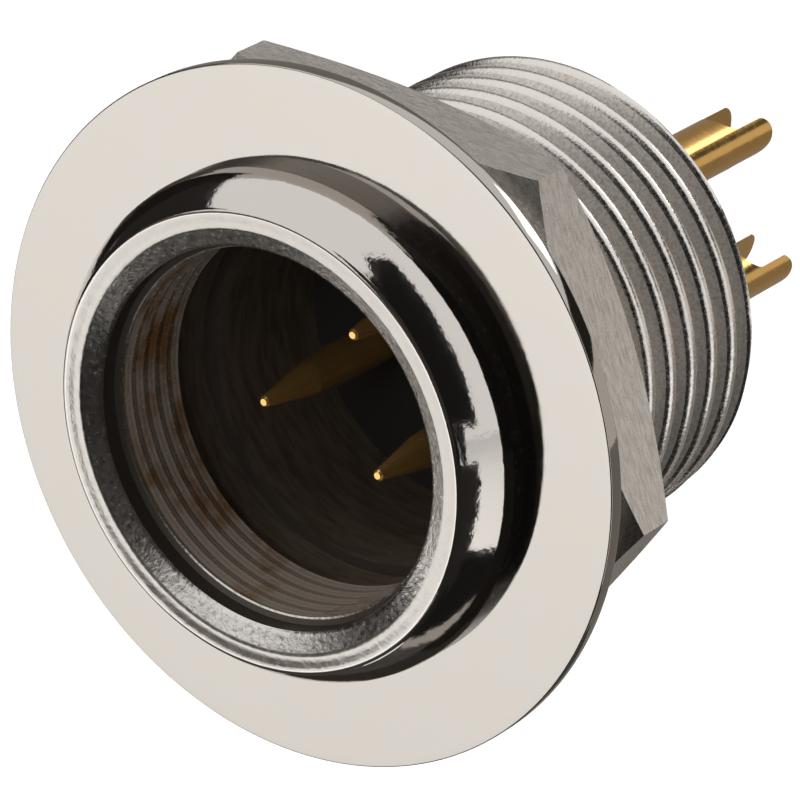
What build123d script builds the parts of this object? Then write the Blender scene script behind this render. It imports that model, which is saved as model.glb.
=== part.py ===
from build123d import *
from math import cos, radians, sin, sqrt, tan
import os

# Miniature three-pole panel socket with pin contacts, held in a round panel hole by a nut.
# Millimetres. The axis is Y: the mouth faces -Y, the solder cups point to +Y, and +Z is up.
# The origin is on the axis, in the flange's rear face, where the panel seats.

# Shell, outward from the bore that guides the plug: steps and walls, measured along the radius
guide_diameter = 8.40
entry_step = 0.16
mouth_bevel_width = 0.48
lip_wall = 0.41
cone_width = 0.53
collar_break_width = 0.05
latch_groove_depth = 0.25
shoulder_step = 0.25
relief_wall = 0.75
thread_depth = 0.55
flange_margin = 0.09

# Shell, along the axis: forward from the flange to the lip, then inside from the lip to the latch groove
flange_thickness = 0.40
collar_height = 0.42
collar_break_height = 0.26
cone_height = 0.94
mouth_bevel_depth = 0.26
entry_depth = 0.51
entry_step_bevel = 0.08
guide_length = 2.02
latch_groove_length = 1.30

# Shell, rearward from the flange
barrel_length = 9.25
relief_length = 0.30
barrel_end_bevel = 0.40

# Broken edges of the shell
lip_edge_break = 0.10
mouth_edge_break = 0.04
flange_edge_break = 0.06

# Insert: two moulded halves that trap the contacts' collars between them
insert_depth = 3.35
insert_clearance = 0.02
front_half_length = 2.00
rear_half_length = 3.00
front_half_bevel = 0.15
rear_half_round = 0.55

# Contacts: three turned pins on one circle, each with a solder cup at the rear
contact_circle_diameter = 3.70
contact_angles = (191.7, 71.7, 311.7)
cup_turns = (40.0, -3.0, -19.0)
contact_clearance = 0.02
pin_diameter = 0.96
pin_tip_depth = 2.72
pin_tip_diameter = 0.26
pin_tip_break = 0.05
pin_nose_length = 1.63
pin_nose_step = 0.08
pin_nose_blend = 1.20
cup_diameter = 1.32
cup_length = 5.95
cup_wall = 0.21
cup_bore_depth = 3.40
drill_point_angle = 118.0
cup_notch_depth = 1.70
ear_thickness = 0.18
ear_tip_flat = 0.10
contact_collar_step = 0.29
contact_collar_length = 0.80

# Hexagon nut, as far along the thread as it is shown
nut_sides = 6
nut_wall = 1.35
nut_thickness = 2.40
nut_gap = 0.46
nut_turn = -9.5
nut_clearance = 0.03
nut_face_inset = 0.20
nut_bevel_angle = 30.0
nut_bore_bevel = 0.30

# Radii that follow from these
guide_radius = guide_diameter / 2
entry_radius = guide_radius + entry_step
lip_inner_radius = entry_radius + mouth_bevel_width
lip_outer_radius = lip_inner_radius + lip_wall
collar_radius = lip_outer_radius + cone_width + collar_break_width
insert_bore_radius = guide_radius + shoulder_step
insert_radius = insert_bore_radius - insert_clearance
thread_root_radius = guide_radius + relief_wall
thread_radius = thread_root_radius + thread_depth
nut_apothem = thread_radius + nut_wall
nut_corner_radius = nut_apothem / cos(radians(180 / nut_sides))
flange_radius = nut_corner_radius + flange_margin
cup_radius = cup_diameter / 2
contact_collar_radius = cup_radius + contact_collar_step

# Planes across the axis that follow from these
flange_front = -flange_thickness
collar_edge = flange_front - collar_height
cone_foot = collar_edge - collar_break_height
lip_plane = cone_foot - cone_height
mouth_bevel_end = lip_plane + mouth_bevel_depth
entry_end = mouth_bevel_end + entry_depth
guide_end = entry_end + guide_length
latch_groove_end = guide_end + latch_groove_length
shoulder_plane = barrel_length - insert_depth
parting_plane = shoulder_plane + front_half_length
insert_rear = parting_plane + rear_half_length
pin_tip_plane = lip_plane + pin_tip_depth
cup_end = insert_rear + cup_length


def turned(outline, rounds=()):
    """Revolve a half outline, given as (radius, y) corners, round the axis, after rounding some corners."""
    face = make_face(Polyline(*outline, close=True))
    for corner, radius in rounds:
        vertex = face.vertices().sort_by_distance(Vector(*corner))[0]
        face = fillet(vertex, radius)
    return revolve(face, Axis.Y)


def shell():
    """Lip, collar, flange and barrel outside; mouth, guide bore, latch groove and insert bore inside."""
    groove_radius = guide_radius + latch_groove_depth
    outline = [
        (lip_inner_radius + mouth_edge_break, lip_plane),
        (lip_outer_radius - lip_edge_break, lip_plane),
        (lip_outer_radius, lip_plane + lip_edge_break),
        (collar_radius - collar_break_width, cone_foot),
        (collar_radius, collar_edge),
        (collar_radius, flange_front),
        (flange_radius - flange_edge_break, flange_front),
        (flange_radius, flange_front + flange_edge_break),
        (flange_radius, -flange_edge_break),
        (flange_radius - flange_edge_break, 0),
        (thread_root_radius, 0),
        (thread_root_radius, relief_length),
        (thread_radius, relief_length + thread_depth),
        (thread_radius, barrel_length - barrel_end_bevel),
        (thread_radius - barrel_end_bevel, barrel_length),
        (insert_bore_radius, barrel_length),
        (insert_bore_radius, shoulder_plane),
        (guide_radius, shoulder_plane),
        (guide_radius, latch_groove_end),
        (groove_radius, latch_groove_end),
        (groove_radius, guide_end),
        (guide_radius, guide_end),
        (guide_radius, entry_end),
        (entry_radius, entry_end - entry_step_bevel),
        (entry_radius, mouth_bevel_end),
        (lip_inner_radius, lip_plane + mouth_edge_break),
    ]
    return turned(outline)


def contact_places():
    """Where the contacts' axes lie, evenly spaced on their circle."""
    radius = contact_circle_diameter / 2
    return [Pos(radius * cos(radians(a)), 0, radius * sin(radians(a))) for a in contact_angles]


def front_half():
    """The half that faces the plug, seated on the shell's shoulder, with a pocket behind each pin hole."""
    body = turned(
        [
            (0, shoulder_plane),
            (insert_radius, shoulder_plane),
            (insert_radius, parting_plane - front_half_bevel),
            (insert_radius - front_half_bevel, parting_plane),
            (0, parting_plane),
        ]
    )
    pin_hole = pin_diameter / 2 + contact_clearance
    pocket = contact_collar_radius + contact_clearance
    pocket_floor = parting_plane - contact_collar_length / 2 - contact_clearance
    hole = [
        (0, shoulder_plane),
        (pin_hole, shoulder_plane),
        (pin_hole, pocket_floor),
        (pocket, pocket_floor),
        (pocket, parting_plane),
        (0, parting_plane),
    ]
    return body - [place * turned(hole) for place in contact_places()]


def rear_half():
    """The half that closes the barrel and stands out behind it with a rounded edge."""
    outline = [
        (0, parting_plane),
        (insert_radius, parting_plane),
        (insert_radius, insert_rear),
        (0, insert_rear),
    ]
    body = turned(outline, [((insert_radius, insert_rear), rear_half_round)])
    cup_hole = cup_radius + contact_clearance
    pocket = contact_collar_radius + contact_clearance
    pocket_floor = parting_plane + contact_collar_length / 2 + contact_clearance
    hole = [
        (0, parting_plane),
        (pocket, parting_plane),
        (pocket, pocket_floor),
        (cup_hole, pocket_floor),
        (cup_hole, insert_rear),
        (0, insert_rear),
    ]
    return body - [place * turned(hole) for place in contact_places()]


def contact(cup_turn):
    """Pointed pin, trapped collar and solder cup with two ears, turned about its own axis as fitted."""
    pin_radius = pin_diameter / 2
    tip_radius = pin_tip_diameter / 2
    nose_end = pin_tip_plane + pin_nose_length
    collar_front = parting_plane - contact_collar_length / 2
    collar_rear = parting_plane + contact_collar_length / 2
    body = turned(
        [
            (0, pin_tip_plane),
            (tip_radius - pin_tip_break, pin_tip_plane),
            (tip_radius, pin_tip_plane + pin_tip_break),
            (pin_radius - pin_nose_step, nose_end),
            (pin_radius, nose_end + pin_nose_blend),
            (pin_radius, collar_front),
            (contact_collar_radius, collar_front),
            (contact_collar_radius, collar_rear),
            (cup_radius, collar_rear),
            (cup_radius, cup_end),
            (0, cup_end),
        ]
    )
    body -= cup_bore()
    body -= cup_notch()
    body -= ear_trim()
    return Rotation(0, -cup_turn, 0) * body


def cup_bore():
    """The drilled hole that takes the stripped wire, with the drill's conical floor."""
    radius = cup_radius - cup_wall
    floor = cup_end - cup_bore_depth
    point = floor - radius / tan(radians(drill_point_angle / 2))
    return turned([(0, point), (radius, floor), (radius, cup_end), (0, cup_end)])


def cup_notch():
    """A round-bottomed slot right across the cup, which leaves an ear on each side of the wire."""
    radius = cup_radius - ear_thickness
    bottom_centre = cup_end - cup_notch_depth + radius
    bottom = Pos(0, bottom_centre) * Circle(radius)
    sides = Pos(0, bottom_centre + cup_notch_depth / 2) * Rectangle(2 * radius, cup_notch_depth)
    return extrude(bottom + sides, cup_diameter, both=True)


def ear_trim():
    """What comes off the two ears, as wide as the notch leaves them, so that each ends in a round tip."""
    ear_width = 2 * sqrt(cup_radius**2 - (cup_radius - ear_thickness) ** 2)
    tip_round = (ear_width - ear_tip_flat) / 2
    middle = cup_end - tip_round
    block = Pos(middle, 0) * Rectangle(2 * tip_round, 2 * cup_diameter)
    kept = Pos(middle, 0) * Rectangle(2 * tip_round, ear_width)
    rear_corners = kept.vertices().group_by(Axis.X)[-1]
    return extrude(Plane.YZ * (block - fillet(rear_corners, tip_round)), cup_diameter, both=True)


def hex_nut():
    """Hexagon with both faces bevelled to a circle and a bored middle, at its place behind the flange."""
    front, rear = nut_gap, nut_gap + nut_thickness
    hexagon = RegularPolygon(nut_apothem, nut_sides, major_radius=False, rotation=nut_turn)
    body = extrude(Plane.XZ.offset(-rear) * hexagon, nut_thickness)
    face = nut_apothem - nut_face_inset
    bevel = (nut_corner_radius - face) * tan(radians(nut_bevel_angle))
    body &= turned(
        [
            (0, front),
            (face, front),
            (nut_corner_radius, front + bevel),
            (nut_corner_radius, rear - bevel),
            (face, rear),
            (0, rear),
        ]
    )
    bore = thread_radius + nut_clearance
    mouth = bore + nut_bore_bevel
    return body - turned(
        [
            (0, front),
            (mouth, front),
            (bore, front + nut_bore_bevel),
            (bore, rear - nut_bore_bevel),
            (mouth, rear),
            (0, rear),
        ]
    )


def main():
    pieces = {
        "shell": shell(),
        "insert_front_half": front_half(),
        "insert_rear_half": rear_half(),
        "hex_nut": hex_nut(),
    }
    for number, (place, turn) in enumerate(zip(contact_places(), cup_turns), start=1):
        pieces[f"contact_{number}"] = place * contact(turn)
    os.makedirs("parts", exist_ok=True)
    for name, piece in pieces.items():
        export_step(piece, f"parts/{name}.step")


main()
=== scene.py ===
# %% [markdown]
# # Miniature panel socket
# The real object is a turned, nickel plated shell with a hexagon nut on its thread, a black moulded insert
# and three gold plated contacts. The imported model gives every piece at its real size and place, in metres.
# This script dresses it: it remakes the shell with its thread, and gives each piece the finish of the real
# one.

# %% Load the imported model
from math import cos, radians, sin, tan

import bmesh
import bpy
import numpy as np
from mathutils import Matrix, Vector


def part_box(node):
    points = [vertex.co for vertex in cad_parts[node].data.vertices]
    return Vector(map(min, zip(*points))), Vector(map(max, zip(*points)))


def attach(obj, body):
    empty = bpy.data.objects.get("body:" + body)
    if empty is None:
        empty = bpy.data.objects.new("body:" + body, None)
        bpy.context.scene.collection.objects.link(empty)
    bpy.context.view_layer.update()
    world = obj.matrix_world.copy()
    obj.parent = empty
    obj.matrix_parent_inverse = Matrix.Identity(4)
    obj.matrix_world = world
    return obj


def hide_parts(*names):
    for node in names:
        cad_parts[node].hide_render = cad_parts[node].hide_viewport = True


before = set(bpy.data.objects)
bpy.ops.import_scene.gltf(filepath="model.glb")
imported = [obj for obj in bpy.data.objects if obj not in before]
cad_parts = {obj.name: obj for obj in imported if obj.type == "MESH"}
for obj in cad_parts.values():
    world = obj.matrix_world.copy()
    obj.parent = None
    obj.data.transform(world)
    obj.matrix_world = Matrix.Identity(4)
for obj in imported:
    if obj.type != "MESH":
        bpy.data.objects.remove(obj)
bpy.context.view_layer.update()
MM = 0.001


# %% [markdown]
# ## The camera
# The photograph looks into the mouth from the right and from above, with a long lens. The camera could be
# aimed by hand or by a constraint. Here its place is worked out from two angles and a distance, so that it
# is exact. It looks at a point beside the axis, because the object isn't centred in the picture. A lens is
# a share of the sensor's width, so it follows from how many pixels a tangent of one covers.

# %% Camera
AZIMUTH = radians(34.98)
ELEVATION = radians(22.49)
FLANGE_RADIUS = 8.0 * MM
FLANGE_RADII_AWAY = 16
AIM_RIGHT = 0.267 * FLANGE_RADIUS
AIM_UP = 0.0561 * FLANGE_RADIUS
PICTURE_WIDTH = 800
PIXELS_PER_TANGENT = 5933.6
SENSOR_WIDTH = 36.0
CLIP_RATIO = 100
# The flange's front, in mm along the axis from its back
FLANGE_FACE = -0.40


def direction(azimuth, elevation):
    """The way out at an azimuth from -Y towards +X and an elevation above the floor, both in radians."""
    return Vector((sin(azimuth) * cos(elevation), -cos(azimuth) * cos(elevation), sin(elevation)))


def stand_off(thing, centre, out, distance):
    """Puts a camera or a lamp into the scene, out along a direction from a centre and looking back at it."""
    thing.location = centre + distance * out
    thing.rotation_mode = "QUATERNION"
    thing.rotation_quaternion = out.to_track_quat("Z", "Y")
    bpy.context.scene.collection.objects.link(thing)


towards_camera = direction(AZIMUTH, ELEVATION)
picture_right = Vector((cos(AZIMUTH), sin(AZIMUTH), 0))
picture_up = towards_camera.cross(picture_right)
aim = Vector((0, FLANGE_FACE * MM, 0)) + AIM_RIGHT * picture_right + AIM_UP * picture_up
camera_distance = FLANGE_RADII_AWAY * FLANGE_RADIUS

camera_data = bpy.data.cameras.new("camera")
camera_data.sensor_width = SENSOR_WIDTH
camera_data.lens = PIXELS_PER_TANGENT * SENSOR_WIDTH / PICTURE_WIDTH
camera_data.clip_start = camera_distance / CLIP_RATIO
camera_data.clip_end = camera_distance * CLIP_RATIO
camera = bpy.data.objects.new("camera", camera_data)
stand_off(camera, aim, towards_camera, camera_distance)
bpy.context.scene.camera = camera
print("lens in mm:", round(camera_data.lens, 1))

# %% [markdown]
# ## Helpers
# A colour is written as the eye sees it and has to be turned to linear light. One function adds a node of
# any kind with its settings and its links, so that a material reads as a list of what feeds what.

# %% Colours and nodes
SRGB_KNEE = 0.04045
SRGB_SLOPE = 12.92
SRGB_OFFSET = 0.055
SRGB_POWER = 2.4


def linear(code):
    """An sRGB hex colour as linear red, green, blue and a full alpha: a line up to the knee, then a power."""
    values = np.array([int(code[i:i + 2], 16) for i in (1, 3, 5)]) / 255
    low = values / SRGB_SLOPE
    high = ((values + SRGB_OFFSET) / (1 + SRGB_OFFSET)) ** SRGB_POWER
    return (*np.where(values <= SRGB_KNEE, low, high).tolist(), 1.0)


def add(tree, kind, links=None, inputs=None, **settings):
    """Adds a node, gives its settings and socket values, and links sockets of it to other nodes' outputs."""
    node = tree.nodes.new(kind)
    for name, value in settings.items():
        setattr(node, name, value)
    for name, value in (inputs or {}).items():
        node.inputs[name].default_value = value
    for name, source in (links or {}).items():
        tree.links.new(node.inputs[name], source)
    return node


def new_material(name):
    """An empty material and its node tree."""
    material = bpy.data.materials.new(name)
    material.use_nodes = True
    material.node_tree.nodes.clear()
    return material, material.node_tree


def finish_material(material, shader):
    """Links a finished shader to the material's surface, and says how many nodes it took."""
    tree = material.node_tree
    add(tree, "ShaderNodeOutputMaterial", links={"Surface": shader.outputs[0]})
    print(material.name, "nodes:", len(tree.nodes))
    return material


print("the grey #808080 is", round(linear("#808080")[0], 3), "of white's light")

# %% [markdown]
# ## Plated metal
# Nickel is a warm, slightly yellow grey metal. Where a face is only turned and plated it is satin, because
# the plate keeps the fine marks of the tool, and where it is rubbed it is nearly a mirror. A picture of
# plate could be wrapped round each piece, but noise in millimetres has no seam and fits every shape. The
# faces differ in how rough they are and in which marks they keep, so one function makes them all. Real
# grain is a few hundredths of a millimetre, too fine to show, so each grain is drawn several times coarser
# than it is.

# %% Plated metal
GRAIN_DETAIL = 3.0
GRAIN_BREAK_UP = 0.55
CLOUD_DETAIL = 4.0
CLOUD_BREAK_UP = 0.6
# Most of the noise lies between these two values
NOISE_LOW = 0.3
NOISE_HIGH = 0.7
# The Mix node has its sockets once for each type of value, and these are the ones that mix colours
MIX_SHARE = 0
MIX_FIRST = 6
MIX_SECOND = 7
MIX_RESULT = 2


def stained(tree, place, colour, stain):
    """A colour with clouds of the stain in it.

    The stain is its colour, the size of a cloud in mm, the noise value where it starts and the one where it
    is full. Between these two values the colours are mixed in proportion.
    """
    stain_colour, cloud_mm, start, full = stain
    cloud = add(
        tree,
        "ShaderNodeTexNoise",
        links={"Vector": place},
        inputs={"Scale": 1 / (cloud_mm * MM), "Detail": CLOUD_DETAIL, "Roughness": CLOUD_BREAK_UP},
    )
    share = add(
        tree,
        "ShaderNodeMapRange",
        links={"Value": cloud.outputs["Fac"]},
        inputs={"From Min": start, "From Max": full},
    )
    mixed = add(
        tree,
        "ShaderNodeMix",
        links={MIX_SHARE: share.outputs["Result"]},
        inputs={MIX_FIRST: linear(colour), MIX_SECOND: linear(stain_colour)},
        data_type="RGBA",
    )
    return mixed.outputs[MIX_RESULT]


def plated(name, colour, rough, spread, grain_mm, height_mm, stretch=(1, 1, 1), stain=None, metallic=1.0):
    """Plated metal: fine noise moves the roughness by the spread either way, and raises the surface.

    The stretch squeezes the grain along X, Y and Z by its numbers, which draws it out across them.
    """
    material, tree = new_material(name)
    place = add(tree, "ShaderNodeTexCoord")
    drawn_out = add(
        tree, "ShaderNodeMapping", links={"Vector": place.outputs["Object"]}, inputs={"Scale": stretch}
    )
    grain = add(
        tree,
        "ShaderNodeTexNoise",
        links={"Vector": drawn_out.outputs["Vector"]},
        inputs={"Scale": 1 / (grain_mm * MM), "Detail": GRAIN_DETAIL, "Roughness": GRAIN_BREAK_UP},
    )
    roughness = add(
        tree,
        "ShaderNodeMapRange",
        links={"Value": grain.outputs["Fac"]},
        inputs={
            "From Min": NOISE_LOW,
            "From Max": NOISE_HIGH,
            "To Min": rough - spread,
            "To Max": rough + spread,
        },
    )
    bump = add(
        tree,
        "ShaderNodeBump",
        links={"Height": grain.outputs["Fac"]},
        inputs={"Strength": 1.0, "Distance": height_mm * MM},
    )
    links = {"Roughness": roughness.outputs["Result"], "Normal": bump.outputs["Normal"]}
    if stain:
        links["Base Color"] = stained(tree, drawn_out.outputs["Vector"], colour, stain)
    shader = add(
        tree,
        "ShaderNodeBsdfPrincipled",
        links=links,
        inputs={"Base Color": linear(colour), "Metallic": metallic},
    )
    return finish_material(material, shader)


print("values between which the noise moves the roughness:", NOISE_LOW, NOISE_HIGH)

# %% [markdown]
# ## The outside of the shell
# The flange is fine turned, the lip scuffed, the cone buffed, and the corner behind the cone left duller, its
# colour darkened as painted shade. One finish for all would be simpler, but each of them mirrors the studio in
# its own way, and that is what tells the eye where one face ends.

# %% Nickel on the outside of the shell
# Bright nickel on a fine turned face: nearly even, faintly clouded, and clear enough to mirror the collar.
flange_nickel = plated(
    "satin_nickel_plate",
    "#B2ADA7",
    rough=0.06,
    spread=0.02,
    grain_mm=0.30,
    height_mm=0.0008,
    stain=("#B3ADA4", 1.2, 0.45, 0.75),
)
# The lip's face is touched by every plug, so its plate is scuffed to satin.
lip_nickel = plated(
    "scuffed_nickel_lip", "#B6B1AB", rough=0.20, spread=0.05, grain_mm=0.16, height_mm=0.0050
)
# Buffed nickel: nearly a mirror, whose slow waves make the edges of dark reflections ragged.
polished_nickel = plated(
    "polished_nickel_plate", "#CCC6C0", rough=0.08, spread=0.02, grain_mm=0.35, height_mm=0.0060
)
# Nickel in the corner behind the cone: the same plate, duller, and darkened as painted shade for the corner.
collar_nickel_with_painted_shade = plated(
    "nickel_corner_with_painted_shade", "#86807A", rough=0.24, spread=0.04, grain_mm=0.20, height_mm=0.0020
)

# %% [markdown]
# ## The mouth and the bore
# Inside the mouth the skin under the plate is rough. Deeper in, the plate is thin, brown and dull, and
# where plugs rub, the brass shows; there the colours are also darkened as painted shade. One finish could
# serve for all of it, because little of the studio reaches the bore, but its brown comes from the
# metal, so each part gets its own.

# %% Nickel in the mouth and the bore
# Nickel over a rough skin: orange peel that breaks each reflection into specks.
mouth_nickel = plated(
    "nickel_over_rough_skin",
    "#D6D1CB",
    rough=0.22,
    spread=0.06,
    grain_mm=0.13,
    height_mm=0.0100,
    stain=("#A09A95", 0.12, 0.52, 0.70),
)
# Thin, tarnished nickel on the wall behind the bevel, and on the groove's end face deeper in: a brown grey,
# darkened further as painted shade for the recess.
entry_nickel_with_painted_shade = plated(
    "dull_nickel_with_painted_shade_in_the_mouth",
    "#423B35",
    rough=0.34,
    spread=0.06,
    grain_mm=0.10,
    height_mm=0.0040,
    metallic=0.7,
)
# Nickel worn through in a ringed bore: patches where the brass shows, on a grey brown that is darkened as painted
# shade for the bore.
guide_nickel_with_painted_shade = plated(
    "ringed_bore_in_worn_nickel_and_painted_shade",
    "#93867A",
    rough=0.24,
    spread=0.05,
    grain_mm=0.12,
    height_mm=0.0030,
    stain=("#75583A", 1.6, 0.50, 0.64),
    metallic=0.6,
)
# Nickel deep in a bore, where plating is thin: matt and brown, painted down to brown black as shade for the depth,
# with the marks of boring round it.
bore_nickel_with_painted_shade = plated(
    "bored_wall_in_dull_nickel_and_painted_shade",
    "#5E5348",
    rough=0.50,
    spread=0.05,
    grain_mm=0.14,
    height_mm=0.0060,
    stretch=(1, 5, 1),
    stain=("#4A3E32", 0.9, 0.4, 0.65),
    metallic=0.5,
)

# %% [markdown]
# ## The thread and the nut
# A die tears the flanks of a thread, and the nut then rubs the crests smooth. One material with a mask
# could tell them apart, but crest and flank have faces of their own anyway, so each takes its own material.
# The nut's flats are brushed round its axis, Y, so its grain is squeezed along Y, which draws it out
# across.

# %% Nickel on the thread and the nut
# Nickel on thread flanks as the die left them: torn, grainy and grey.
thread_nickel = plated(
    "nickel_on_cut_thread",
    "#D3CDC6",
    rough=0.40,
    spread=0.08,
    grain_mm=0.06,
    height_mm=0.0100,
    stain=("#B2ABA4", 0.07, 0.42, 0.66),
    metallic=0.80,
)
# Nickel on the crests, rubbed smooth by the nut: lines that go white or black with what they mirror.
crest_nickel = plated(
    "rubbed_nickel_crest", "#DED8D2", rough=0.24, spread=0.08, grain_mm=0.08, height_mm=0.0070
)
# Nickel on the nut's brushed flats: a soft grey with fine streaks.
nut_nickel = plated(
    "brushed_nickel_plate",
    "#DAD5CF",
    rough=0.30,
    spread=0.06,
    grain_mm=0.10,
    height_mm=0.0050,
    stretch=(1, 6, 1),
    stain=("#B4AEA8", 0.35, 0.4, 0.7),
)

# %% [markdown]
# ## Gold plate
# The contacts are turned from brass and plated with gold, which keeps them from tarnishing. Gold could have
# a function of its own, but it differs from nickel only in its colour and in lying evenly, so the same one
# makes it.

# %% Gold on the contacts
# Gold over brass on turned contacts: a warm, soft mirror.
gold_plate = plated(
    "gold_plate_on_brass", "#E2B46A", rough=0.19, spread=0.05, grain_mm=0.20, height_mm=0.0030, metallic=0.92
)

# %% [markdown]
# ## Moulded plastic
# The insert is black thermoplastic from a lightly spark-eroded mould. Its grain could be form, but it is
# far finer than the mesh, so a bump makes it. Light mostly catches the insert's rounded edge.

# %% Insert plastic
# A spark-eroded grain is about 0.03 mm, too fine to show, so it is drawn at 0.08 mm
MOULD_GRAIN_MM = 0.08
MOULD_HEIGHT_MM = 0.002


def moulded_black():
    """Black plastic with a fine, even grain."""
    material, tree = new_material("black_moulded_thermoplastic")
    place = add(tree, "ShaderNodeTexCoord")
    grain = add(
        tree,
        "ShaderNodeTexNoise",
        links={"Vector": place.outputs["Object"]},
        inputs={"Scale": 1 / (MOULD_GRAIN_MM * MM), "Detail": GRAIN_DETAIL},
    )
    bump = add(
        tree,
        "ShaderNodeBump",
        links={"Height": grain.outputs["Fac"]},
        inputs={"Strength": 1.0, "Distance": MOULD_HEIGHT_MM * MM},
    )
    shader = add(
        tree,
        "ShaderNodeBsdfPrincipled",
        links={"Normal": bump.outputs["Normal"]},
        inputs={"Base Color": linear("#191817"), "Roughness": 0.45, "IOR": 1.50},
    )
    return finish_material(material, shader)


insert_black = moulded_black()

# %% [markdown]
# ## The shell
# The real shell is turned from one bar and its thread is cut on the barrel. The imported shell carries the
# barrel as a plain cylinder, so this one stands for it. It could be a cylinder with the thread only painted
# on, but the thread breaks the barrel's edge against the white, so it is made as form: an outline carried
# round the axis for everything but the thread, and a ribbon along the helix for the thread.

# %% Sizes of the shell
SHELL_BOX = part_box("shell")
LIP_PLANE = SHELL_BOX[0].y / MM
BARREL_END = SHELL_BOX[1].y / MM
# Radii in mm, from the bore outwards
GUIDE = 4.20
ENTRY = 4.36
GROOVE = 4.45
INSERT_BORE = 4.45
LIP_INNER = 4.84
RELIEF = 4.95
LIP_OUTER = 5.25
THREAD_CREST = 5.50
CONE_FOOT = 5.78
COLLAR = 5.83
FLANGE = SHELL_BOX[1].x / MM
# Lengths along the axis in mm, first inside and then outside
BEVEL_DEPTH = 0.26
ENTRY_DEPTH = 0.77
GUIDE_LENGTH = 2.02
GROOVE_LENGTH = 1.30
INSERT_DEPTH = 3.35
CONE_BREAK_HEIGHT = 0.26
COLLAR_HEIGHT = 0.42
RELIEF_END = 0.30

BEVEL_END = LIP_PLANE + BEVEL_DEPTH
ENTRY_END = LIP_PLANE + ENTRY_DEPTH
GUIDE_END = ENTRY_END + GUIDE_LENGTH
GROOVE_END = GUIDE_END + GROOVE_LENGTH
SHOULDER = BARREL_END - INSERT_DEPTH
COLLAR_EDGE = FLANGE_FACE - COLLAR_HEIGHT
CONE_FOOT_PLANE = COLLAR_EDGE - CONE_BREAK_HEIGHT
print("lip plane and barrel end in mm:", round(LIP_PLANE, 3), round(BARREL_END, 3))

# %% [markdown]
# ## The outline
# A turning tool goes from face to face, and so does the outline: straight runs, rounded edges, a cone that
# swells a little, and a bore with the rings that the tool left. A Bevel modifier could round the edges
# afterwards, but it would need a weight on each one. As a list of stretches, each edge simply has its own
# size and each face its own finish.

# %% Curves of the outline
ROUND_STEPS = 8
ROWS_PER_RING = 14
FINE_RING_SHARE = 0.25
FINE_RINGS_PER_RING = 3


def arc(radius, y, size, start, end):
    """Points at one distance from a centre, from one angle to another, in degrees from the radius."""
    angle = np.radians(np.linspace(start, end, ROUND_STEPS, endpoint=False))
    return np.stack([radius + size * np.cos(angle), y + size * np.sin(angle)], axis=1)


def straight(start, end, step):
    """Evenly spaced points from start up to, but without, end."""
    start, end = np.array(start), np.array(end)
    count = max(1, int(round(np.linalg.norm(end - start) / step)))
    return start + (end - start) * np.linspace(0, 1, count, endpoint=False)[:, None]


def bowed(start, end, step, rise):
    """A straight run that swells outward by four times the rise, the share gone and the share left."""
    points = straight(start, end, step)
    along = np.array(end) - np.array(start)
    outward = np.array([along[1], -along[0]]) / np.linalg.norm(along)
    share = np.linspace(0, 1, len(points), endpoint=False)[:, None]
    return points + outward * rise * 4 * share * (1 - share)


def rounded(start, corner, end):
    """A corner cut round by a quadratic curve.

    Each point is an average of the three: the start counts by the square of the share left, the end by the
    square of the share gone, and the corner by twice the product of both.
    """
    share = np.linspace(0, 1, ROUND_STEPS, endpoint=False)[:, None]
    start, corner, end = np.array(start), np.array(corner), np.array(end)
    return (1 - share) ** 2 * start + 2 * share * (1 - share) * corner + share**2 * end


def ringed(start, end, pitch, depth):
    """A bore wall with turning rings: a broad wave at each pitch and finer ones on it, cut into the wall."""
    points = straight(start, end, pitch / ROWS_PER_RING)
    turn = 2 * np.pi * (points[:, 1] - start[1]) / pitch
    broad, fine = 0.5 - 0.5 * np.cos(turn), 0.5 - 0.5 * np.cos(FINE_RINGS_PER_RING * turn)
    points[:, 0] += depth * ((1 - FINE_RING_SHARE) * broad + FINE_RING_SHARE * fine)
    return points


print("points in a rounded edge:", ROUND_STEPS, "and in a ring:", ROWS_PER_RING)

# %% Edges of the shell
END_BEVEL = 0.08
ENTRY_STEP_BEVEL = 0.08
MOUTH_BREAK = 0.04
LIP_INNER_ROUND = 0.07
LIP_DISH = 0.055
LIP_ROUND = 0.16
CONE_RISE = 0.035
FLANGE_FRONT_ROUND = 0.03
FLANGE_BACK_ROUND = 0.06
RING_PITCH = 0.42
RING_DEPTH = 0.045
# The share of the entry's step, next to the rings, that takes the bright mouth finish: a painted highlight, a thin
# line
STEP_HIGHLIGHT_SHARE = 0.25

# The lip's outer round touches its face and its cone at the same distance from their corner
cone_lean = np.degrees(np.arctan2(CONE_FOOT - LIP_OUTER, CONE_FOOT_PLANE - LIP_PLANE))
lip_tangent = LIP_ROUND * tan(radians((90 - cone_lean) / 2))
cone_along = np.array([sin(radians(cone_lean)), cos(radians(cone_lean))])
cone_start = np.array([LIP_OUTER, LIP_PLANE]) + cone_along * lip_tangent
round_centre = (LIP_OUTER - lip_tangent, LIP_PLANE + LIP_ROUND)
# Its inner round takes as much off the mouth's bevel as off its face, which is dished
lip_corner = np.array([LIP_INNER, LIP_PLANE + LIP_DISH])
lip_flat_start = np.array([LIP_INNER + LIP_INNER_ROUND, LIP_PLANE + LIP_DISH])
bevel_start = np.array([ENTRY + MOUTH_BREAK, BEVEL_END])
bevel_along = (lip_corner - bevel_start) / np.linalg.norm(lip_corner - bevel_start)
round_start = lip_corner - bevel_along * LIP_INNER_ROUND
# The entry: its step, the thin painted highlight at the step's foot, and the broken edge before the bevel
step_highlight_end = (GUIDE + STEP_HIGHLIGHT_SHARE * (ENTRY - GUIDE), ENTRY_END - STEP_HIGHLIGHT_SHARE * ENTRY_STEP_BEVEL)
step_end = (ENTRY, ENTRY_END - ENTRY_STEP_BEVEL)
break_start = (ENTRY, BEVEL_END + MOUTH_BREAK)
flange_rim = FLANGE - FLANGE_FRONT_ROUND
print("cone's lean to the axis in degrees:", round(float(cone_lean), 1))

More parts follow.
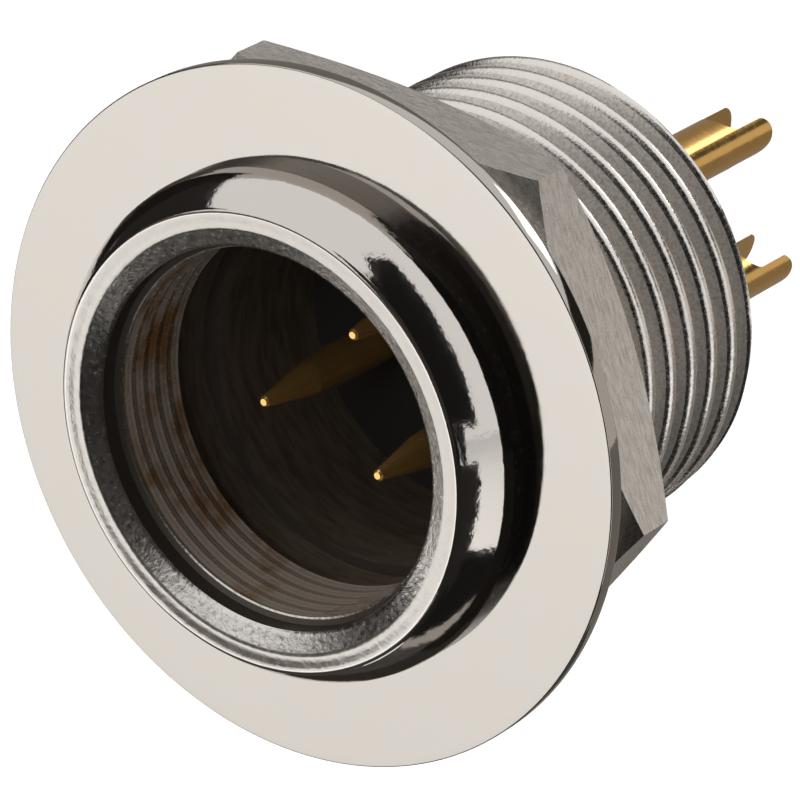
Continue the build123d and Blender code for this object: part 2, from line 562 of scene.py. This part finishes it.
# %% Outline of the shell, without its thread
FINISH_OF_ZONE = {
    "flange": flange_nickel,
    "lip": lip_nickel,
    "polish": polished_nickel,
    "collar": collar_nickel_with_painted_shade,
    "mouth": mouth_nickel,
    "entry": entry_nickel_with_painted_shade,
    "thread": thread_nickel,
    "crest": crest_nickel,
    "guide": guide_nickel_with_painted_shade,
    "bore": bore_nickel_with_painted_shade,
}
ZONES = list(FINISH_OF_ZONE)
# Steps between rows in mm: long where nothing shows, short where a reflection would show the facets
HIDDEN_STEP = 0.6
DEEP_STEP = 0.5
BACK_STEP = 0.3
FACE_STEP = 0.2
EDGE_STEP = 0.1
MIRROR_STEP = 0.08
BEVEL_STEP = 0.06

stretches = [
    ("thread", straight((THREAD_CREST - END_BEVEL, BARREL_END), (INSERT_BORE, BARREL_END), FACE_STEP)),
    ("bore", straight((INSERT_BORE, BARREL_END), (INSERT_BORE, SHOULDER), HIDDEN_STEP)),
    ("bore", straight((INSERT_BORE, SHOULDER), (GUIDE, SHOULDER), DEEP_STEP)),
    ("bore", straight((GUIDE, SHOULDER), (GUIDE, GROOVE_END), DEEP_STEP)),
    ("entry", straight((GUIDE, GROOVE_END), (GROOVE, GROOVE_END), DEEP_STEP)),
    ("bore", straight((GROOVE, GROOVE_END), (GROOVE, GUIDE_END), DEEP_STEP)),
    ("bore", straight((GROOVE, GUIDE_END), (GUIDE, GUIDE_END), DEEP_STEP)),
    ("guide", ringed((GUIDE, GUIDE_END), (GUIDE, ENTRY_END), RING_PITCH, RING_DEPTH)),
    ("mouth", straight((GUIDE, ENTRY_END), step_highlight_end, EDGE_STEP)),
    ("entry", straight(step_highlight_end, step_end, EDGE_STEP)),
    ("entry", straight(step_end, break_start, EDGE_STEP)),
    ("mouth", straight(break_start, bevel_start, EDGE_STEP)),
    ("mouth", straight(bevel_start, round_start, BEVEL_STEP)),
    ("lip", rounded(round_start, lip_corner, lip_flat_start)),
    ("lip", straight(lip_flat_start, (round_centre[0], LIP_PLANE), MIRROR_STEP)),
    ("polish", arc(*round_centre, LIP_ROUND, -90, -cone_lean)),
    ("polish", bowed(cone_start, (CONE_FOOT, CONE_FOOT_PLANE), MIRROR_STEP, CONE_RISE)),
    ("polish", straight((CONE_FOOT, CONE_FOOT_PLANE), (COLLAR, COLLAR_EDGE), EDGE_STEP)),
    ("collar", straight((COLLAR, COLLAR_EDGE), (COLLAR, FLANGE_FACE), EDGE_STEP)),
    ("flange", straight((COLLAR, FLANGE_FACE), (flange_rim, FLANGE_FACE), FACE_STEP)),
    ("flange", arc(flange_rim, FLANGE_FACE + FLANGE_FRONT_ROUND, FLANGE_FRONT_ROUND, -90, 0)),
    ("flange", arc(FLANGE - FLANGE_BACK_ROUND, -FLANGE_BACK_ROUND, FLANGE_BACK_ROUND, 0, 90)),
    ("flange", straight((FLANGE - FLANGE_BACK_ROUND, 0), (RELIEF, 0), BACK_STEP)),
    ("thread", np.array([(RELIEF, 0), (RELIEF, RELIEF_END)])),
]
outline = np.concatenate([points for zone, points in stretches])
zone_of_row = np.concatenate([np.full(len(points), ZONES.index(zone)) for zone, points in stretches])
print("rows in the outline:", len(outline))

# %% [markdown]
# ## The thread
# Its flanks stand 60 degrees apart and it is right-handed. The crests are worn round, so each one mirrors a
# whole sweep of the studio and shows a dark line beside a bright one. The pitch and the place of the crests
# were measured in the photograph. The barrel could be a plain grid whose radius goes up and down, but the
# crests would then step from row to row. So one pitch of the profile is carried along the helix, turn after
# turn. Both ends of this ribbon are cut off square where the barrel starts and ends.

# %% Profile of the thread
THREAD_PITCH = 0.84
THREAD_DEPTH = 0.40
# On the +X side, the middle of a root lies this share of a pitch behind the flange's back
THREAD_PHASE = 0.59
# Radius of the worn crest in mm, and the angle of each flank to the axis
CREST_ROUND = 0.22
FLANK_ANGLE = radians(60)
ROOT_ROWS = 2
FLANK_ROWS = 4
CREST_ROWS = 8

ARC_HALF = CREST_ROUND * sin(FLANK_ANGLE)
ARC_DROP = CREST_ROUND * (1 - cos(FLANK_ANGLE))
root_from_crest = ARC_HALF + (THREAD_DEPTH - ARC_DROP) / tan(FLANK_ANGLE)
root_end = 0.5 - root_from_crest / THREAD_PITCH
arc_start = 0.5 - ARC_HALF / THREAD_PITCH
# Shares of a pitch where root, flank and crest meet, the rows between them and the zone each lies in
ends = [0, root_end, arc_start, 1 - arc_start, 1 - root_end, 1]
rows_between = [ROOT_ROWS, FLANK_ROWS, CREST_ROWS, FLANK_ROWS, ROOT_ROWS]
zones_between = [ZONES.index(zone) for zone in ("thread", "thread", "crest", "thread", "thread")]
PROFILE = np.concatenate(
    [
        np.linspace(start, end, rows, endpoint=False)
        for start, end, rows in zip(ends[:-1], ends[1:], rows_between)
    ]
)
ROW_ZONES = np.repeat(zones_between, rows_between)
print("rows in a pitch:", len(PROFILE), "width of the worn crest in mm:", round(2 * ARC_HALF, 3))

# %% Ribbon along the helix
COLUMNS = 224


def barrel_radius(y, turn):
    """Radius of the barrel: the crest, less what the place in the pitch and both run-outs take off.

    The place is y in pitches plus the turn from +X to +Z, so the thread climbs as a right-handed one does.
    The crest is an arc of a circle, the flanks are its tangents, and the root cuts them off at full depth.
    """
    place = np.mod(y / THREAD_PITCH + turn - THREAD_PHASE, 1.0)
    from_crest = np.abs(place - 0.5) * THREAD_PITCH
    arc_drop = CREST_ROUND - np.sqrt(CREST_ROUND**2 - np.minimum(from_crest, ARC_HALF) ** 2)
    flank_drop = np.clip(from_crest - ARC_HALF, 0, None) * tan(FLANK_ANGLE)
    depth = np.minimum(arc_drop + flank_drop, THREAD_DEPTH)
    run_in = RELIEF + (y - RELIEF_END)
    run_out = THREAD_CREST - END_BEVEL + (BARREL_END - y)
    return np.minimum(np.minimum(THREAD_CREST - depth, run_in), run_out)


def on_axis(radius, y, turn):
    """Points in metres from a radius, a place along the axis and a turn round it."""
    angle = 2 * np.pi * turn
    return np.stack([radius * np.cos(angle), y + 0 * angle, radius * np.sin(angle)], axis=-1) * MM


def thread_ribbon():
    """The helix as a grid: a column for each step of turn, and a row for each place in the pitch.

    It starts more than a turn before the barrel and is held between the barrel's two ends. The turn runs
    backwards as the ribbon climbs, which keeps each row at its own place in the pitch.
    """
    first = THREAD_PITCH * (np.floor(RELIEF_END / THREAD_PITCH - 1 - THREAD_PHASE) + THREAD_PHASE)
    turns = int(np.ceil((BARREL_END - first) / THREAD_PITCH)) + 1
    column = np.arange(turns * COLUMNS + 1)[:, None]
    y = np.clip(first + THREAD_PITCH * (column / COLUMNS + PROFILE[None, :]), RELIEF_END, BARREL_END)
    turn = np.mod(-column, COLUMNS) / COLUMNS + 0 * y
    return on_axis(barrel_radius(y, turn), y, turn)


def ribbon_faces(columns, rows):
    """Quads along the ribbon and their finishes; each turn's last row joins the next turn's first row."""
    column, row = np.meshgrid(np.arange(columns - 1), np.arange(rows), indexing="ij")
    number = column * rows + row
    above = np.where(row + 1 < rows, number + 1, (column + COLUMNS) * rows)
    quads = np.stack([number, number + rows, above + rows, above], axis=-1).reshape(-1, 4)
    kept = (quads < columns * rows).all(axis=1)
    return quads[kept], ROW_ZONES[row.reshape(-1)[kept]]


ribbon = thread_ribbon()
ribbon_quads, ribbon_zones = ribbon_faces(*ribbon.shape[:2])
print("ribbon columns and rows:", ribbon.shape[:2])

# %% [markdown]
# ## One skin
# The rest of the shell is its outline carried round the axis. A boolean could join the two, but the
# outline's first circle and its last lie exactly on the ribbon's two ends, so it is enough to join points
# that share a place. That makes one closed skin, with no seam to leak light.

# %% The outline carried round
def lathe_points():
    """Each row of the outline turned round the axis; the first row follows the cut end of the thread."""
    turn = (np.arange(COLUMNS) / COLUMNS)[None, :]
    radius, y = outline[:, :1] + 0 * turn, outline[:, 1:] + 0 * turn
    radius[0] = barrel_radius(y[0], turn[0])
    return on_axis(radius, y, turn + 0 * y)


def lathe_faces(rows):
    """Quads between neighbouring rows, whose columns close round the axis."""
    row, column = np.meshgrid(np.arange(rows - 1), np.arange(COLUMNS), indexing="ij")
    after = (column + 1) % COLUMNS
    below, above = row * COLUMNS, (row + 1) * COLUMNS
    corners = [below + column, below + after, above + after, above + column]
    return np.stack(corners, axis=-1).reshape(-1, 4)


lathe = lathe_points()
lathe_quads = lathe_faces(len(outline)) + ribbon.shape[0] * ribbon.shape[1]
print("quads in the ribbon and the lathed part:", len(ribbon_quads), len(lathe_quads))

# %% Mesh of the shell
WELD_DISTANCE = 0.0005 * MM
SHARP_ANGLE = radians(32)


def mesh_of_quads(name, points, faces, zones):
    """A mesh from points, quads and each quad's finish."""
    mesh = bpy.data.meshes.new(name)
    mesh.vertices.add(len(points))
    mesh.vertices.foreach_set("co", points.reshape(-1))
    mesh.loops.add(faces.size)
    mesh.loops.foreach_set("vertex_index", faces.reshape(-1))
    mesh.polygons.add(len(faces))
    mesh.polygons.foreach_set("loop_start", np.arange(0, faces.size, 4))
    mesh.polygons.foreach_set("material_index", zones)
    mesh.update(calc_edges=True)
    return mesh


def weld(mesh, distance):
    """Joins points that share a place, drops what that leaves without area, and turns every face outward."""
    work = bmesh.new()
    work.from_mesh(mesh)
    bmesh.ops.remove_doubles(work, verts=work.verts, dist=distance)
    bmesh.ops.recalc_face_normals(work, faces=work.faces)
    open_edges = sum(1 for edge in work.edges if not edge.is_manifold)
    volume = work.calc_volume(signed=True) / MM**3
    work.to_mesh(mesh)
    work.free()
    return open_edges, volume


shell_mesh = mesh_of_quads(
    "turned_shell",
    np.concatenate([ribbon.reshape(-1, 3), lathe.reshape(-1, 3)]),
    np.concatenate([ribbon_quads, lathe_quads]),
    np.concatenate([ribbon_zones, np.repeat(zone_of_row[:-1], COLUMNS)]),
)
for finish in FINISH_OF_ZONE.values():
    shell_mesh.materials.append(finish)
open_edges, volume = weld(shell_mesh, WELD_DISTANCE)
shell_mesh.shade_smooth()
shell_mesh.set_sharp_from_angle(angle=SHARP_ANGLE)
turned_shell = bpy.data.objects.new("turned_shell", shell_mesh)
bpy.context.scene.collection.objects.link(turned_shell)
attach(turned_shell, "socket")
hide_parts("shell")
print("shell faces:", len(shell_mesh.polygons), "open edges:", open_edges, "volume in mm3:", round(volume, 1))

# %% [markdown]
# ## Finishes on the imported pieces
# The nut, the insert and the contacts could be remade as the shell was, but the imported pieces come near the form
# of the real ones. They keep it, and only take a finish.

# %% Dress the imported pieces
FINISHES = {
    "hex_nut": nut_nickel,
    "insert_front_half": insert_black,
    "insert_rear_half": insert_black,
    "contact_1": gold_plate,
    "contact_2": gold_plate,
    "contact_3": gold_plate,
}
for node, material in FINISHES.items():
    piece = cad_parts[node]
    piece.data.materials.clear()
    piece.data.materials.append(material)
    print(node, "triangles:", len(piece.data.polygons))

# %% [markdown]
# ## The studio
# Metal shows what stands round it, so the studio matters more than the lamps. The floor and the sky are
# plain white where they are seen, in the picture or in a reflection, and give less light than that. More
# light could make them white too, but it would bleach the plastic and the dull metal.

# %% Floor and sky
FLOOR_LEVEL = -60 * MM
FLOOR_SIZE = 3.0
SKY_LIGHT = 0.45
FLOOR_GLOW = 0.36


def white_ray(tree):
    """One where a camera, glossy or transmission ray looks at this shader, and nil where it only lights."""
    path = add(tree, "ShaderNodeLightPath")
    first = add(
        tree,
        "ShaderNodeMath",
        links={0: path.outputs["Is Camera Ray"], 1: path.outputs["Is Glossy Ray"]},
        operation="ADD",
    )
    return add(
        tree,
        "ShaderNodeMath",
        links={0: first.outputs[0], 1: path.outputs["Is Transmission Ray"]},
        operation="ADD",
        use_clamp=True,
    )


def white_sky():
    """A sky that is plain white where it is seen, and gives less light than that."""
    world = bpy.data.worlds.new("white_sky")
    world.use_nodes = True
    tree = world.node_tree
    tree.nodes.clear()
    level = add(
        tree,
        "ShaderNodeMapRange",
        links={"Value": white_ray(tree).outputs[0]},
        inputs={"To Min": SKY_LIGHT, "To Max": 1.0},
    )
    sky = add(
        tree,
        "ShaderNodeBackground",
        links={"Strength": level.outputs["Result"]},
        inputs={"Color": linear("#FFFFFF")},
    )
    add(tree, "ShaderNodeOutputWorld", links={"Surface": sky.outputs[0]})
    return world


def white_board():
    """Matt white board, topped up to plain white only where the camera or a reflection sees it."""
    material, tree = new_material("matt_white_board")
    board = add(tree, "ShaderNodeBsdfDiffuse", inputs={"Color": linear("#F2F2F2")})
    glow_level = add(
        tree,
        "ShaderNodeMath",
        links={0: white_ray(tree).outputs[0]},
        inputs={1: FLOOR_GLOW},
        operation="MULTIPLY",
    )
    glow = add(tree, "ShaderNodeEmission", links={"Strength": glow_level.outputs[0]})
    both = add(tree, "ShaderNodeAddShader", links={0: board.outputs[0], 1: glow.outputs[0]})
    return finish_material(material, both)


def studio_piece(name, points, faces, material):
    """A mesh of the studio with one material, linked into the scene as an object of its own."""
    mesh = bpy.data.meshes.new(name)
    mesh.from_pydata(points, [], faces)
    mesh.materials.append(material)
    card = bpy.data.objects.new(name, mesh)
    bpy.context.scene.collection.objects.link(card)
    return card


def flat_card(name, centre, across, up, material):
    """A rectangle given by its centre and the two half sides that span it."""
    centre, across, up = np.array(centre), np.array(across), np.array(up)
    corners = [centre - across - up, centre + across - up, centre + across + up, centre - across + up]
    return studio_piece(name, np.array(corners).tolist(), [(0, 1, 2, 3)], material)


bpy.context.scene.world = white_sky()
flat_card("floor", (0, 0, FLOOR_LEVEL), (FLOOR_SIZE, 0, 0), (0, FLOOR_SIZE, 0), white_board())
print("floor level in mm:", round(FLOOR_LEVEL / MM, 1), "light of the sky:", SKY_LIGHT)

# %% [markdown]
# ## Cards
# A photographer hangs black and grey cloth beside bright metal, so that its edges stand out against white.
# Here upright cards and rings on the floor give the polished cone and the thread their dark bands, and one
# lit softbox gives the crests their brightest stretch. The dark rings close under the object are painted
# shadow: they stand for its own shadow on the floor. A picture of a studio could be wrapped round the
# scene instead, but cards can be moved one reflection at a time. Only reflections see them.

# %% Upright cards
CARD_DISTANCE = 0.30
CARD_LIFT = 1 * MM
FROM_FLOOR = None
SOFTBOX_STRENGTH = 3.6


def reflected_only(card):
    """Keeps a card out of the picture, and out of the light: it is seen in reflections alone."""
    card.visible_camera = False
    card.visible_shadow = False
    card.visible_diffuse = False
    return card


def cloth(name, colour, strength=1.0):
    """Cloth that a reflection sees as one flat tone; a strength above one makes it a lit softbox."""
    material, tree = new_material(name)
    shader = add(tree, "ShaderNodeEmission", inputs={"Color": linear(colour), "Strength": strength})
    return finish_material(material, shader)


def upright_card(name, from_azimuth, to_azimuth, low, high, colour, strength=1.0):
    """An upright card between two azimuths and two elevations in degrees, as the object sees its middle."""
    middle, half = radians((from_azimuth + to_azimuth) / 2), radians((to_azimuth - from_azimuth) / 2)
    bottom = FLOOR_LEVEL + CARD_LIFT if low is FROM_FLOOR else CARD_DISTANCE * tan(radians(low))
    top = CARD_DISTANCE * tan(radians(high))
    centre = (CARD_DISTANCE * sin(middle), -CARD_DISTANCE * cos(middle), (bottom + top) / 2)
    across = np.array([cos(middle), sin(middle), 0.0]) * CARD_DISTANCE * tan(half)
    material = cloth(name + "_cloth", colour, strength)
    return reflected_only(flat_card(name, centre, across, (0, 0, (top - bottom) / 2), material))


# Each card's azimuths from and to, its elevations from and to, its tone, and the softbox's strength
UPRIGHT_CARDS = {
    "card_front_left": (-56, -3, FROM_FLOOR, 12, "#6A6662"),
    "card_front": (-5, 42, FROM_FLOOR, 60, "#3A3836"),
    "card_front_right_low": (40, 73, FROM_FLOOR, 4, "#1C1B1A"),
    "card_front_right_high": (40, 83, 4, 74, "#1C1B1A"),
    "card_left_far": (-132, -113, FROM_FLOOR, 38, "#524F4C"),
    "card_left": (-113, -55, FROM_FLOOR, 38, "#2A2827"),
    "card_right_low": (118, 176, FROM_FLOOR, 8, "#DAD5CF"),
    "card_right_high": (118, 176, 8, 23, "#2E2C2B"),
    "softbox_right": (143, 166, 25, 38, "#FFFFFF", SOFTBOX_STRENGTH),
    "card_behind": (174, 235, FROM_FLOOR, 40, "#8A857F"),
}
for name, values in UPRIGHT_CARDS.items():
    upright_card(name, *values)
print("upright cards:", len(UPRIGHT_CARDS))

# %% Cards on the floor
FLOOR_STEP = 6


def floor_card(name, from_azimuth, to_azimuth, near, far, colour):
    """A ring sector on the floor under the object: two arcs of points, near and far, joined by quads."""
    count = int(np.ceil((to_azimuth - from_azimuth) / FLOOR_STEP)) + 1
    azimuth = np.radians(np.linspace(from_azimuth, to_azimuth, count))
    reach = np.array([near, far])[:, None] * MM
    x, y = reach * np.sin(azimuth), -reach * np.cos(azimuth)
    points = np.stack([x, y, np.full_like(x, FLOOR_LEVEL + CARD_LIFT)], axis=-1)
    first = np.arange(count - 1)
    quads = np.stack([first, first + count, first + count + 1, first + 1], axis=-1)
    material = cloth(name + "_cloth", colour)
    return reflected_only(studio_piece(name, points.reshape(-1, 3).tolist(), quads.tolist(), material))


# Each card's azimuths from and to in degrees, its reach from and to in mm, and its tone
# The dark rings that reach in to 8 mm are painted shadow, the object's own shadow on the floor as reflections see
# it
FLOOR_CARDS = {
    "card_floor_front": (-14, 82, 66, 340, "#2A2827"),
    "painted_shadow_floor_front_near": (6, 82, 8, 66, "#2A2827"),
    "painted_shadow_floor_right": (82, 119, 8, 66, "#1C1B1A"),
    "card_floor_patch": (119, 152, 8, 60, "#ABA6A0"),
    "painted_shadow_floor_near": (-120, 6, 8, 64, "#4A4744"),
    "card_floor_left": (-134, -76, 62, 340, "#807C77"),
    "card_floor_behind": (118, 164, 60, 340, "#86817C"),
    "card_floor_behind_left": (164, 240, 60, 340, "#8E8983"),
    "painted_shadow_floor_under": (152, 240, 8, 60, "#4A4744"),
}
for name, values in FLOOR_CARDS.items():
    floor_card(name, *values)
print("cards on the floor:", len(FLOOR_CARDS))

# %% [markdown]
# ## Lamps
# One soft lamp stands to the left and above, and a small one shines into the mouth. Reflections don't see
# them, because the cards and the sky already make those, so the lamps only light what isn't pure metal: the
# insert, the dull plate in the bore and the grey of the thread. The sky alone could light these too, but
# evenly.

# %% Lamps
LAMP_DISTANCE = 0.40


def soft_lamp(name, azimuth, elevation, size, power):
    """A square area lamp that looks at the object from a direction given in degrees."""
    data = bpy.data.lights.new(name, "AREA")
    data.size = size
    data.energy = power
    lamp = bpy.data.objects.new(name, data)
    lamp.visible_glossy = False
    stand_off(lamp, Vector((0, 0, 0)), direction(radians(azimuth), radians(elevation)), LAMP_DISTANCE)
    return lamp


lamps = [
    soft_lamp("lamp_left", azimuth=-40, elevation=45, size=0.25, power=1.2),
    soft_lamp("lamp_mouth", azimuth=12, elevation=18, size=0.15, power=0.8),
]
bpy.context.scene.view_settings.view_transform = "Standard"
print("lamps:", [lamp.name for lamp in lamps])
